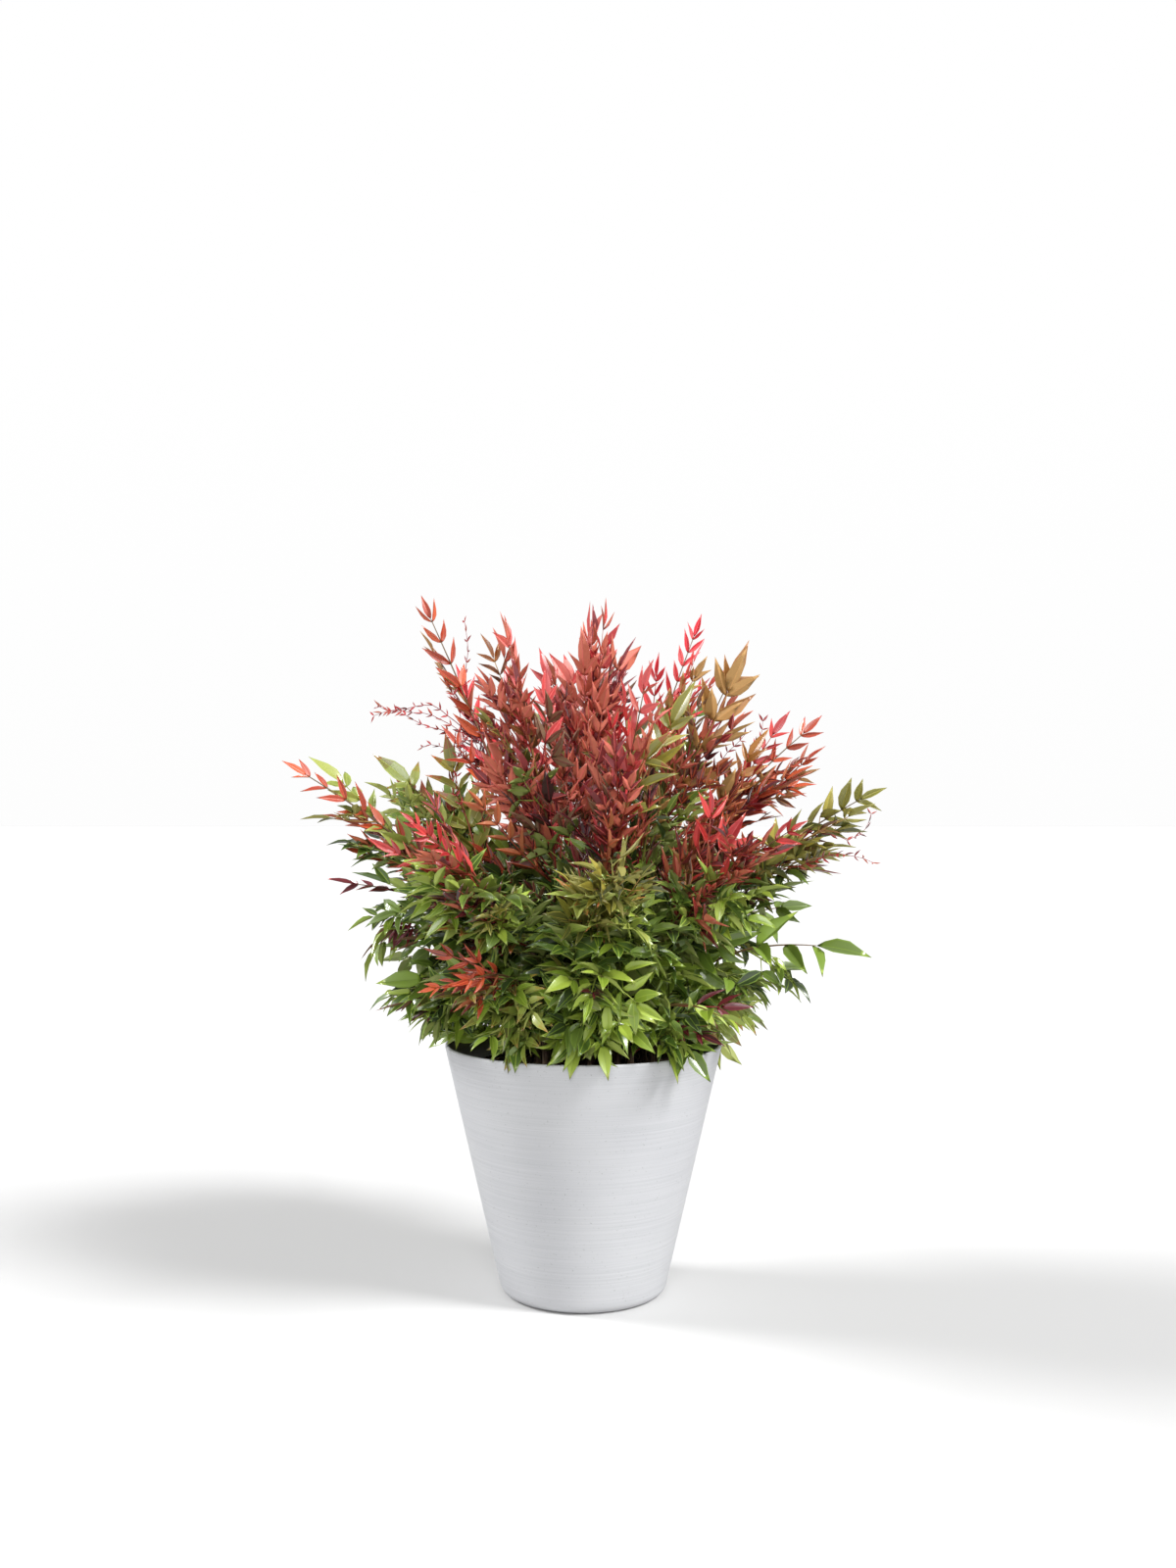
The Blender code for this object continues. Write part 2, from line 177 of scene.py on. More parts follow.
def bumped(material, shader, heights, distance, strength):
    """Raises the surface by a height from 0 to 1."""
    bump = new_node(material, "Bump")
    bump.inputs["Distance"].default_value = distance
    bump.inputs["Strength"].default_value = strength
    link(material, heights, bump.inputs["Height"])
    link(material, bump.outputs["Normal"], shader.inputs["Normal"])


def pot_profile():
    """Up the inside from the floor's middle, over the lip, and down the outside to the underside."""
    lean = degrees(POT_SLOPE)
    foot_x = pot_outer_radius(0.0) - POT_FOOT_ROUND * tan((pi / 2 - POT_SLOPE) / 2)
    foot = arc((foot_x, POT_FOOT_ROUND), POT_FOOT_ROUND, -lean, -90, 10)
    lip_z = POT_HEIGHT - POT_LIP_ROUND
    lip_centre = (pot_outer_radius(lip_z) - POT_WALL_ACROSS / 2, lip_z)
    lip = arc(lip_centre, POT_LIP_ROUND, 180 - lean, -lean, 8)
    bevel_z = POT_FLOOR + POT_FLOOR_BEVEL
    corner = pot_outer_radius(bevel_z) - POT_WALL_ACROSS
    inside = [(0.0, POT_FLOOR), (corner - POT_FLOOR_BEVEL, POT_FLOOR), (corner, bevel_z)]
    inner_side = stretch(inside[-1], lip[0], 12)
    outer_side = stretch(lip[-1], foot[0], 40)
    return [*inside, *inner_side, *lip, *outer_side, *foot, (0.0, 0.0)]


def pot_material():
    """Pale grey composite with turning lines round it, faint clouds and a few dark grains."""
    material, shader = finish("pale_composite", (0.66, 0.67, 0.69), 0.62)
    lines = object_noise(material, 1.0, 4.0, (7.0, 7.0, 900.0))
    clouds = object_noise(material, 9.0, 3.0)
    grains = object_noise(material, 520.0, 1.0)
    base = graded(material, lines, [(0.30, (0.425, 0.43, 0.444)), (0.70, (0.482, 0.487, 0.50))])
    soft = graded(material, clouds, [(0.35, (0.95, 0.95, 0.96)), (0.65, (1.0, 1.0, 1.0))])
    dark = graded(material, grains, [(0.70, (1.0, 1.0, 1.0)), (0.76, (0.72, 0.71, 0.70))])
    colour = multiplied(material, multiplied(material, base, soft), dark)
    link(material, colour, shader.inputs["Base Color"])
    bumped(material, shader, lines, 0.0003, 0.22)
    return material


planter = shown("planter", turned("planter", pot_profile(), POT_TURNS), [pot_material()])
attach(planter, "root")
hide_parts("pot")


# The potting soil: dark crumbs, level but uneven, filling the planter to just below its rim.
# Bark chips and lumps lie loose on it.

SOIL_TOP = POT_HEIGHT - 0.028
SOIL_GAP = 0.0008
SOIL_RELIEF = 0.0035
SOIL_RINGS = 46

# The chips: their number and size, their length, width and thickness for that size, and which of
# the three tints they have.
CHIPS = 620
CHIP_SIZES = (0.0011, 0.0034)
CHIP_SHAPES = ((1.0, 2.1), (0.7, 1.1), (0.35, 0.8))
CHIP_SHADES = (0, 0, 1, 1, 2)
CHIP_TINTS = ((0.05, 0.03, 0.018), (0.11, 0.065, 0.036), (0.20, 0.12, 0.07))
CHIP_SEED = 5


def soil_radius(height):
    """How far out the soil reaches at a height, close to the planter's wall."""
    return pot_outer_radius(height) - POT_WALL_ACROSS - SOIL_GAP


def soil_height(x, y):
    """How far a place on the soil stands above its mean level."""
    broad = noise.noise(Vector((x * 28, y * 28, 1.7)))
    fine = noise.noise(Vector((x * 150, y * 150, 5.1)))
    return SOIL_RELIEF * (0.6 * broad + 0.55 * fine - 0.5)


def soil_mesh():
    """A crumbly top, with a side that goes down the planter's wall."""
    radius = soil_radius(SOIL_TOP)
    top = [(radius * ring / SOIL_RINGS, SOIL_TOP) for ring in range(SOIL_RINGS + 1)]
    low = SOIL_TOP - 0.05
    mesh = turned("soil_bed", [*top, (soil_radius(low), low), (0.0, low)], 150)
    for vert in mesh.vertices:
        if vert.co.z > SOIL_TOP - 0.001:
            vert.co.z += soil_height(vert.co.x, vert.co.y)
    return mesh


def chip_mesh(rng):
    """Loose chips and lumps: flattened many-sided crumbs, half sunk in the soil."""
    bm = bmesh.new()
    for _ in range(CHIPS):
        radius = soil_radius(SOIL_TOP) * sqrt(rng.random()) * 0.97
        angle = rng.uniform(0, tau)
        x, y = radius * cos(angle), radius * sin(angle)
        size = rng.uniform(*CHIP_SIZES)
        shape = [size * rng.uniform(*shares) for shares in CHIP_SHAPES]
        place = Matrix.Translation((x, y, SOIL_TOP + soil_height(x, y) + size * 0.2))
        tilt = Matrix.Rotation(rng.uniform(-0.5, 0.5), 4, "X")
        placed = place @ (Matrix.Rotation(angle * 7, 4, "Z") @ tilt) @ Matrix.Diagonal((*shape, 1.0))
        made = bmesh.ops.create_icosphere(bm, subdivisions=1, radius=1.0, matrix=placed)
        shade = rng.choice(CHIP_SHADES)
        for face in {face for vert in made["verts"] for face in vert.link_faces}:
            face.material_index = shade
    return mesh_from("soil_chips", bm)


def grainy(name, plain, roughness, grain, stops, relief):
    """A rough finish whose colour and relief follow one noise, from its hollows to its crests."""
    material, shader = finish(name, plain, roughness)
    heights = object_noise(material, *grain)
    link(material, graded(material, heights, stops), shader.inputs["Base Color"])
    bumped(material, shader, heights, *relief)
    return material


# Near black-brown peat with lighter fibres.
peat = ((0.35, (0.012, 0.008, 0.005)), (0.55, (0.045, 0.028, 0.018)), (0.72, (0.13, 0.085, 0.055)))
soil_finish = grainy("potting_soil", (0.03, 0.02, 0.013), 0.95, (160.0, 6.0), peat, (0.0015, 0.8))
soil_bed = shown("soil_bed", soil_mesh(), [soil_finish])
chip_finishes = [finish(f"bark_chip_{i}", tint, 0.9)[0] for i, tint in enumerate(CHIP_TINTS, 1)]
soil_chips = shown("soil_chips", chip_mesh(random.Random(CHIP_SEED)), chip_finishes)
for piece in (soil_bed, soil_chips):
    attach(piece, "root")
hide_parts("soil")


# The canes: unbranched woody stems that stand up out of the soil and spread. Each has a flared
# foot, an even taper, furrowed brown bark, and rings where old leaves clasped it.

CANE_RADIUS = 0.0040
CANE_FLARE = 1.5
CANE_FLARE_HEIGHT = 0.010
CANE_TIP_SHARE = 0.58
CANE_RISE = 0.62
CANE_POINTS = 44
CANE_RING_EVERY = 0.019
CANE_RING_RISE = 0.11
CANE_CLEARANCE = 0.0003
BARK_RELIEF = 0.00045
UP = Vector((0.0, 0.0, 1.0))

# The crown spreads from its heart, a point just above the rim.
HEART = Vector((0.0, 0.0, 0.306))

# Each ring of masses: how far from the middle its canes stand, how far from the heart they end,
# and for each mass, going round, the azimuth, elevation and reach of its tip, and its colouring.
RINGS = {
    "top": (0.000, 0.130, ((0, 89, 0.448, "coral"),)),
    "upper": (0.025, 0.125, (
        (25, 71, 0.460, "scarlet"), (98, 64, 0.420, "red"), (176, 68, 0.490, "rust"),
        (238, 69, 0.449, "coral"), (290, 62, 0.410, "coral"), (335, 64, 0.440, "tan"),
    )),
    "middle": (0.050, 0.118, (
        (10, 49, 0.420, "rust"), (52, 38, 0.370, "bronze"), (97, 36, 0.360, "olive"),
        (138, 38, 0.365, "bronze"), (170, 49, 0.365, "fresh"), (197, 39, 0.420, "rust"),
        (236, 35, 0.355, "red"), (278, 33, 0.345, "olive"), (316, 34, 0.370, "red"),
        (347, 36, 0.412, "olive"),
    )),
    # The lower masses on the right, lower_1 and lower_11, have the dark deep colouring: partly the
    # leaves' own dark green, partly painted shade that holds them down under the strong right lamp.
    "lower": (0.078, 0.105, (
        (5, 21, 0.292, "deep"), (32, -1, 0.301, "green"), (75, 5, 0.285, "deep"),
        (118, 4, 0.285, "green"), (154, 6, 0.280, "deep"), (182, 25, 0.315, "wine"),
        (204, 5, 0.255, "deep"), (240, 9, 0.260, "rust"), (275, 10, 0.262, "green"),
        (309, -2, 0.265, "green"), (340, 10, 0.342, "deep"),
    )),
}


def heading(azimuth, elevation):
    flat = cos(elevation)
    return Vector((flat * cos(azimuth), flat * sin(azimuth), sin(elevation)))


def arched(start, knee, end, share):
    """The point at a share of an arch that sets out towards its knee."""
    return start * (1 - share) ** 2 + knee * 2 * share * (1 - share) + end * share**2


def cane_path(foot, end):
    """A cane stands straight up out of the soil, then arches over to its end."""
    start = foot + UP * CANE_FLARE_HEIGHT
    knee = Vector((start.x, start.y, start.z + (end.z - start.z) * CANE_RISE))
    flare = [foot.lerp(start, share) for share in (0.0, 0.35, 0.7)]
    return flare + [arched(start, knee, end, part / CANE_POINTS) for part in range(CANE_POINTS + 1)]


def plan_masses():
    """Every mass of foliage: its name, the way it faces, its reach, and the path of its cane."""
    plan = []
    for ring, (foot_out, cane_end, masses) in RINGS.items():
        for number, (azimuth, elevation, reach, colouring) in enumerate(masses, 1):
            azimuth = radians(azimuth)
            facing = heading(azimuth, radians(elevation))
            foot = heading(azimuth, 0.0) * foot_out
            foot.z = SOIL_TOP + CANE_CLEARANCE
            name = ring if len(masses) == 1 else f"{ring}_{number}"
            path = cane_path(foot, HEART + facing * cane_end)
            mass = dict(ring=ring, name=name, colouring=colouring)
            plan.append(dict(mass, facing=facing, reach=reach, path=path))
    for mass in plan:
        others = [other["facing"] for other in plan if other is not mass]
        mass["walls"] = [(other - mass["facing"]).normalized() for other in others]
    return plan


def length_of(points):
    return sum((b - a).length for a, b in zip(points, points[1:]))


def cane_radii(path):
    """The root flare at the soil, an even taper, and a low ring every 19 mm."""
    radii = []
    total = length_of(path)
    gone = 0.0
    for index, point in enumerate(path):
        if index:
            gone += (point - path[index - 1]).length
        above_foot = gone / total
        radius = CANE_RADIUS * (1 - (1 - CANE_TIP_SHARE) * above_foot)
        radius *= 1 + (CANE_FLARE - 1) * max(0.0, 1 - gone / CANE_FLARE_HEIGHT) ** 1.5
        since_ring = (gone % CANE_RING_EVERY) / CANE_RING_EVERY
        radii.append(radius * (0.93 + CANE_RING_RISE * max(0.0, 1 - 5 * since_ring)))
    return radii


def tubes(name, strands, sides_resolution):
    """One mesh of closed tubes. A strand is its points, its radii and the number of its material."""
    curve = bpy.data.curves.new(name, "CURVE")
    curve.dimensions = "3D"
    curve.bevel_depth = 1.0
    curve.bevel_resolution = sides_resolution
    curve.use_fill_caps = True
    for _ in range(max(strand[2] for strand in strands) + 1):
        curve.materials.append(None)
    for points, radii, shade in strands:
        spline = curve.splines.new("POLY")
        spline.points.add(len(points) - 1)
        spline.points.foreach_set("co", [value for point in points for value in (*point, 1.0)])
        spline.points.foreach_set("radius", radii)
        spline.material_index = shade
        spline.use_smooth = True
    draft = bpy.data.objects.new(name, curve)
    bpy.context.scene.collection.objects.link(draft)
    swept = draft.evaluated_get(bpy.context.evaluated_depsgraph_get())
    mesh = bpy.data.meshes.new_from_object(swept)
    bpy.data.objects.remove(draft)
    bpy.data.curves.remove(curve)
    bm = bmesh.new()
    bm.from_mesh(mesh)
    bpy.data.meshes.remove(mesh)
    bmesh.ops.remove_doubles(bm, verts=bm.verts[:], dist=0.000002)
    return mesh_from(name, bm)


def cane_mesh():
    """All the canes, with long furrows in the bark."""
    strands = [(mass["path"], cane_radii(mass["path"]), 0) for mass in MASSES]
    mesh = tubes("canes", strands, 4)
    moved = []
    for vert in mesh.vertices:
        x, y, z = vert.co
        furrow = noise.noise(Vector((x * 620, y * 620, z * 75)))
        flake = noise.noise(Vector((x * 260, y * 260, z * 330)))
        moved.append(vert.co + vert.normal * BARK_RELIEF * (furrow + 0.6 * flake))
    for vert, place in zip(mesh.vertices, moved):
        vert.co = place
    return mesh


MASSES = plan_masses()

# Grey-brown bark with dark furrows and paler flakes.
bark = ((0.34, (0.06, 0.036, 0.022)), (0.52, (0.20, 0.125, 0.08)), (0.70, (0.42, 0.30, 0.21)))
grain = (1.0, 5.0, (420.0, 420.0, 60.0))
bark_finish = grainy("cane_bark", (0.12, 0.075, 0.045), 0.85, grain, bark, (0.0006, 0.7))
canes = shown("canes", cane_mesh(), [bark_finish])
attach(canes, "root")
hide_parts(*[f"cane_{mass['name']}" for mass in MASSES])


# The foliage: each mass is a stem that grows on from its cane's end, with compound leaves set
# round it by the golden angle. Young red ones are spikes of narrow leaflets in pairs, and old
# green ones carry small sprays. Leaflets are thin, pointed and folded along the midrib.

GOLDEN_ANGLE = radians(137.5)
STEM_KNEE = 0.45
STEM_POINTS = 14
STEM_RADII = [0.0021 - 0.0016 * part / STEM_POINTS for part in range(STEM_POINTS + 1)]
BENDS = {"top": 0.15, "upper": 0.25, "middle": 0.12, "lower": -0.25}
SPACE_OVERLAP = 0.014
SHARED_WITHIN = 0.19
POT_MARGIN = 0.0015
LEAF_TRIES = 9
TIP_ROOM = 0.034
FIRST_SEED = 11

# Old leaves on each cane's upper part, and short ones in the heart of each mass: how many, how far
# they lean, in degrees, and how long they are.
LEAVES_ON_CANE = 9
CANE_LEANS = (40, 75)
CANE_LENGTHS = (0.07, 0.11)
CORE_LEAVES = {"top": 12, "upper": 11, "middle": 9, "lower": 8}
CORE_LEANS = (35, 70)
CORE_LENGTHS = (0.06, 0.095)

# How many compound leaves stand round a stem, how far they lean from it and how long they are.
# The lowest ones are old, and take the dark inner colourings, partly painted shade.
INNER_ON_STEM = 5
STEM_LEAVES = {
    "top": (30, (8, 40), (0.08, 0.14)),
    "upper": (30, (12, 48), (0.08, 0.14)),
    "middle": (31, (18, 56), (0.08, 0.13)),
    "lower": (28, (28, 66), (0.07, 0.125)),
}

# How wide the crown's hem is at the rim, and how fast it widens upwards to the right and the
# back, and to the left and the front.
HEM_RADIUS = 0.184
HEM_RIGHT_AND_BACK = (2.6, 2.2)
HEM_LEFT_AND_FRONT = (1.3, 1.1)
BOX_MARGIN = 0.008
SKIRT_TRIES = 60

# A mass is longest straight along its stem. To its sides it falls off fast to its shoulder, and
# then slowly. Single leaves stop short of that or stand out of it. Some masses are slimmer or
# stouter than their ring's, or have fewer leaves.
TIP_FALL = {"top": 12.0, "upper": 20.0, "middle": 13.0, "lower": 11.0}
SHOULDER = {"top": 0.74, "upper": 0.61, "middle": 0.81, "lower": 0.83}
SHOULDER_FALL = {"top": 1.5, "upper": 1.3, "middle": 1.6, "lower": 1.4}
GIRTH = {
    "upper_3": 0.74, "upper_6": 0.97, "middle_1": 0.97, "middle_5": 1.10, "middle_6": 0.72,
    "middle_10": 0.74, "lower_1": 0.66, "lower_2": 0.74, "lower_6": 0.82, "lower_10": 0.78,
    "lower_11": 0.60,
}
FEWER_LEAVES = {"upper_3": 0.5, "upper_6": 0.85, "lower_11": 0.7}
LEAST_REACH = 0.46
LEAF_REACHES = (0.84, 0.88, 0.92, 0.96, 1.0, 1.0, 1.06, 1.24)

# How many old leaves hang over the rim from each of the outer canes, going round, and their colouring.
SKIRT_LEAVES = (
    (5, "green"), (6, "fresh"), (5, "deep"), (5, "green"), (5, "fresh"), (4, "deep"),
    (5, "green"), (8, "fresh"), (10, "green"), (10, "green"), (6, "fresh"),
)

# A leaflet's stations from base to tip, its outline there, and its columns across.
LEAF_STATIONS = np.array([0.0, 0.13, 0.33, 0.56, 0.79, 1.0])
LEAF_OUTLINE = np.array([0.0, 0.62, 1.0, 0.87, 0.38, 0.0])
LEAF_COLUMNS = 5
LEAF_TURNING_FROM = 3
LEAF_TIP_FROM = 4
LEAF_RIB = 0.00042
LEAF_THICK = 0.00040
LEAF_WAVE = 0.06

# Where the points of each column lie, from margin to margin and then below the midrib: how far
# across, on which side of the midrib, and whether on the under sheet.
ACROSS = np.array([-1.0, -0.84, 0.0, 0.0, 0.84, 1.0, 0.0, 0.0])
RIB_SIDE = np.array([0.0, 0.0, -1.0, 1.0, 0.0, 0.0, -1.0, 1.0])
BELOW = np.array([0.0] * 6 + [1.0] * 2)
CREASED = (0, 2, 3, 5, 6, 7)

# Colours in full light, from 0 to 255: three near tints of each colouring's upper side, the last
# one dark, and the light tint that its midribs and margins go some way to. On midribs that is their
# own paler colour; on margins it is partly a paler rim and partly a painted glow of light through the
# thin edge. Undersides go some way to a pale tint.
TINTS = {
    "deep": ((86, 108, 34), (114, 140, 46), (46, 64, 24), (150, 178, 72)),
    "green": ((120, 144, 40), (150, 170, 60), (74, 100, 30), (188, 206, 92)),
    "fresh": ((132, 146, 60), (154, 162, 78), (98, 120, 42), (206, 212, 116)),
    "olive": ((118, 116, 40), (160, 148, 58), (76, 80, 30), (198, 186, 92)),
    "bronze": ((138, 82, 32), (174, 116, 50), (88, 50, 24), (206, 150, 80)),
    "tan": ((166, 116, 60), (194, 146, 82), (132, 88, 44), (218, 176, 112)),
    "rust": ((160, 54, 28), (198, 84, 40), (100, 30, 22), (226, 122, 70)),
    "red": ((158, 30, 34), (200, 60, 56), (86, 14, 20), (222, 96, 92)),
    "scarlet": ((198, 26, 44), (226, 66, 70), (136, 14, 28), (242, 116, 116)),
    "coral": ((188, 62, 62), (222, 122, 110), (124, 30, 38), (238, 150, 138)),
    "wine": ((84, 14, 26), (122, 24, 36), (48, 10, 16), (150, 48, 58)),
}
LIGHT_LEVEL = 0.98
EDGE_SHARE = 0.24
PALE_TINT = (176, 166, 110)
PALE_SHARE = 0.22

# A colouring's finishes: its three tints, its underside, and its midribs and margins.
FINISHES_EACH = 5
DARK = 2
UNDER = 3
EDGE = 4

# What each colouring's leaves are like: how far apart their pairs stand, a leaflet's length and its
# width for that, how far it spreads and folds, in degrees, how it hangs, how rough its gloss is,
# how often a leaf is a spike of pairs, what a blushing leaflet turns to and has at its tip, and
# the tint of the rachis.
HABIT_NAMES = "gap leaf width spread fold hang rough spike blush rachis".split()
HABIT_VALUES = {
    "deep": (0.46, 0.041, 0.40, 56, 26, 0.55, 0.16, 0.0, ("deep", "green"), 0),
    "green": (0.46, 0.039, 0.38, 54, 28, 0.50, 0.17, 0.1, ("green", "fresh"), 0),
    "fresh": (0.48, 0.041, 0.37, 48, 28, 0.35, 0.20, 0.2, ("olive", "bronze"), 0),
    "olive": (0.48, 0.037, 0.35, 44, 30, 0.35, 0.22, 0.3, ("bronze", "rust"), 1),
    "bronze": (0.50, 0.032, 0.31, 40, 32, 0.25, 0.24, 0.5, ("rust", "red"), 1),
    "tan": (0.62, 0.041, 0.34, 38, 28, 0.10, 0.34, 0.6, ("tan", "bronze"), 1),
    "rust": (0.74, 0.029, 0.29, 33, 33, 0.12, 0.26, 0.7, ("rust", "red"), 2),
    "red": (0.58, 0.029, 0.28, 32, 33, 0.15, 0.24, 0.7, ("red", "rust"), 2),
    "scarlet": (0.58, 0.028, 0.26, 30, 34, 0.08, 0.28, 0.9, ("scarlet", "coral"), 2),
    "coral": (0.58, 0.034, 0.35, 36, 31, 0.10, 0.32, 0.7, ("coral", "red"), 2),
    "wine": (0.60, 0.027, 0.27, 38, 33, 0.25, 0.20, 0.6, ("wine", "red"), 3),
}
HABITS = {name: dict(zip(HABIT_NAMES, values)) for name, values in HABIT_VALUES.items()}

# How often a leaf blushes, how its leaflets' size varies, how much larger they are at some stems'
# tips, and which of the tints a leaf has.
BLUSHING = 0.45
LEAF_SIZES = (0.72, 0.82, 0.90, 0.96, 1.0, 1.08, 1.2, 1.5)
TIP_LEAVES = {
    "top": 1.45, "upper_3": 1.15, "upper_4": 1.15, "upper_6": 1.35, "middle_5": 1.2, "lower_11": 1.5,
    "lower_7": 1.4,
}
TINT_CHOICES = ((0, 0, 1), (0, 1, 1), (0, 0, 2), (0, 1, 2), (2, 2, 0))

# How many pairs, from a leaf's tip, are single leaflets, on a spike and on other leaves.
ALL_SINGLE = 20
OUTER_SINGLE = 2

# Tints of rachises, of wisps and of stems, and the radii of twigs from foot to tip.
TWIG_TINTS = ((142, 156, 66), (158, 122, 66), (150, 66, 48), (140, 34, 42), (104, 80, 48))
WISP_TWIG = 3
STEM_TWIG = 4
SPRAY_RADII = [0.00062, 0.00057, 0.00052, 0.00046]
LEAF_RADII = [0.0011 - 0.00011 * i for i in range(7)]
SKIRT_RADII = [0.0011 - 0.00009 * i for i in range(7)]
SHOOT_RADII = [0.0012 - 0.0001 * i for i in range(9)]

# How the colourings mix, from the lowest leaves to the highest: the share of the crown's height
# up to which each mix holds, and the weights.
MIX = (
    (0.20, dict(deep=16, green=54, fresh=20, olive=3, rust=3, red=1, wine=4)),
    (0.36, dict(deep=14, green=50, fresh=20, olive=6, bronze=3, rust=2, red=2, wine=3)),
    (0.50, dict(deep=12, green=28, fresh=11, olive=13, bronze=12, rust=8, red=10, wine=8)),
    (0.66, dict(deep=4, green=8, fresh=7, olive=12, bronze=15, tan=3, rust=15, red=22, wine=14,
                coral=2, scarlet=5)),
    (0.82, dict(fresh=2, olive=5, bronze=9, tan=4, rust=17, red=32, scarlet=14, coral=12, wine=14)),
    (9.99, dict(bronze=4, tan=4, rust=18, red=32, scarlet=18, coral=26, wine=4)),
)
CROWN_HEIGHT = 0.49

# Old inner leaves have one mix low in the crown and one above, of dark colourings that are partly
# the old leaves' own colour and partly painted shade in the crown's heart. The others have their
# own mass's colouring instead of the mix as often as this.
INNER_MIX = (dict(deep=62, green=24, wine=9, olive=5), dict(wine=48, deep=20, red=20, rust=12))
OWN_COLOURING = {"top": 0.80, "upper": 0.50, "middle": 0.42, "lower": 0.45}


def leaf_template():
    """The faces of one leaflet: an upper and an under sheet that meet along the margin, both with
    a midrib and drawn to a point at their ends. Kind 0 is the upper side, 1 where its colour turns
    and 2 its tip."""
    bm = bmesh.new()
    along = len(LEAF_STATIONS) - 1
    bmesh.ops.create_grid(bm, x_segments=along, y_segments=LEAF_COLUMNS, size=1.0)
    kinds = bm.faces.layers.int.new("kind")
    for face in bm.faces:
        middle = face.calc_center_median()
        place = (middle.x + 1) / 2 * along
        face[kinds] = (place > LEAF_TURNING_FROM) + (place > LEAF_TIP_FROM)
        if abs(middle.y) < 0.1 or abs(middle.y) > 0.7:
            face[kinds] = EDGE
    made = bmesh.ops.create_grid(bm, x_segments=along, y_segments=3, size=1.0)["verts"]
    under = {face for vert in made for face in vert.link_faces}
    for face in under:
        face[kinds] = EDGE if abs(face.calc_center_median().y) < 0.1 else UNDER
    bmesh.ops.reverse_faces(bm, faces=list(under))
    for vert in made:
        if abs(vert.co.y) < 0.5:
            vert.co.z = -1.0
    bmesh.ops.remove_doubles(bm, verts=bm.verts[:], dist=0.001)
    for end in (-1.0, 1.0):
        last = [vert for vert in bm.verts if abs(vert.co.x - end) < 0.01]
        bmesh.ops.pointmerge(bm, verts=last, merge_co=(end, 0.0, 0.0))
    bmesh.ops.recalc_face_normals(bm, faces=bm.faces[:])
    bm.verts.index_update()
    places = np.array([vert.co for vert in bm.verts])
    stations = np.round((places[:, 0] + 1) / 2 * along).astype(int)
    columns = np.round((places[:, 1] + 1) / 2 * LEAF_COLUMNS).astype(int)
    below = places[:, 2] < -0.5
    columns[below] = LEAF_COLUMNS + 1 + (places[below, 1] > 0)
    faces = [[vert.index for vert in face.verts] for face in bm.faces]
    face_kinds = np.array([face[kinds] for face in bm.faces])
    bm.free()
    return stations, columns, faces, face_kinds


def place_leaflets(leaflets):
    """The points of every leaflet at once: its outline bent, folded, twisted and waved."""
    stations, columns = TEMPLATE[:2]
    own = {key: values[:, None] for key, values in leaflets.items()}
    angle = own["lift"] - own["hang"] * LEAF_STATIONS
    step = np.diff(LEAF_STATIONS, prepend=0.0) * own["length"]
    mid_x = np.cumsum(step * np.cos(angle), axis=1)[:, stations]
    mid_z = np.cumsum(step * np.sin(angle), axis=1)[:, stations]
    angle = angle[:, stations]
    at = LEAF_STATIONS[stations]
    half = own["width"] / 2 * LEAF_OUTLINE[stations]
    twist = own["twist"] * at
    across, rib, below = (values[columns] for values in (ACROSS, RIB_SIDE, BELOW))
    side = across * half * np.cos(own["fold"]) + rib * np.minimum(LEAF_RIB, half * 0.35)
    wave = np.sin(9.0 * at + own["phase"] + across)
    rise = np.abs(across) * half * np.sin(own["fold"]) * (1.25 - 0.45 * np.abs(across))
    rise += LEAF_WAVE * half * across**2 * wave - below * np.minimum(LEAF_THICK, half * 0.4)
    y = side * np.cos(twist) - rise * np.sin(twist) + own["sway"] * at**2 * own["length"]
    rise = side * np.sin(twist) + rise * np.cos(twist)
    local = np.stack([mid_x - rise * np.sin(angle), y, mid_z + rise * np.cos(angle)], axis=2)
    return np.einsum("nij,nvj->nvi", leaflets["axes"], local) + own["root"]


def leaflet_mesh(name, found):
    """A group's leaflets as one mesh, creased along margins and midribs."""
    stations, columns, faces, kinds = TEMPLATE
    leaflets = {key: np.array([leaf[key] for leaf in found]) for key in found[0]}
    points = place_leaflets(leaflets)
    count, each = points.shape[:2]
    corners = np.concatenate(faces)
    sizes = np.array([len(face) for face in faces])
    starts = np.concatenate([[0], np.cumsum(sizes)[:-1]])
    offsets = np.arange(count)[:, None]
    shades = leaflets["shades"][:, kinds]
    mesh = bpy.data.meshes.new(name)
    mesh.vertices.add(count * each)
    mesh.vertices.foreach_set("co", points.astype(np.float32).ravel())
    mesh.loops.add(count * len(corners))
    corners_of_all = corners[None, :] + offsets * each
    mesh.loops.foreach_set("vertex_index", corners_of_all.ravel().astype(np.int32))
    mesh.polygons.add(count * len(faces))
    starts_of_all = starts[None, :] + offsets * len(corners)
    mesh.polygons.foreach_set("loop_start", starts_of_all.ravel().astype(np.int32))
    mesh.polygons.foreach_set("material_index", shades.ravel().astype(np.int32))
    mesh.update(calc_edges=True)
    ends = np.empty(len(mesh.edges) * 2, np.int32)
    mesh.edges.foreach_get("vertices", ends)
    ends = columns[ends.reshape(-1, 2) % each]
    creased = (ends[:, 0] == ends[:, 1]) & np.isin(ends[:, 0], CREASED)
    mesh.attributes.new("sharp_edge", "BOOLEAN", "EDGE").data.foreach_set("value", creased)
    return mesh


def toward(colour, other, share):
    return tuple(a + (b - a) * share for a, b in zip(colour, other))


def painted(tint):
    """The base colour that shows as a screen tint, 0 to 255, in the studio's light."""
    linear = [((v / 255 + 0.055) / 1.055) ** 2.4 if v > 10 else v / 255 / 12.92 for v in tint]
    return tuple(value / LIGHT_LEVEL for value in linear)


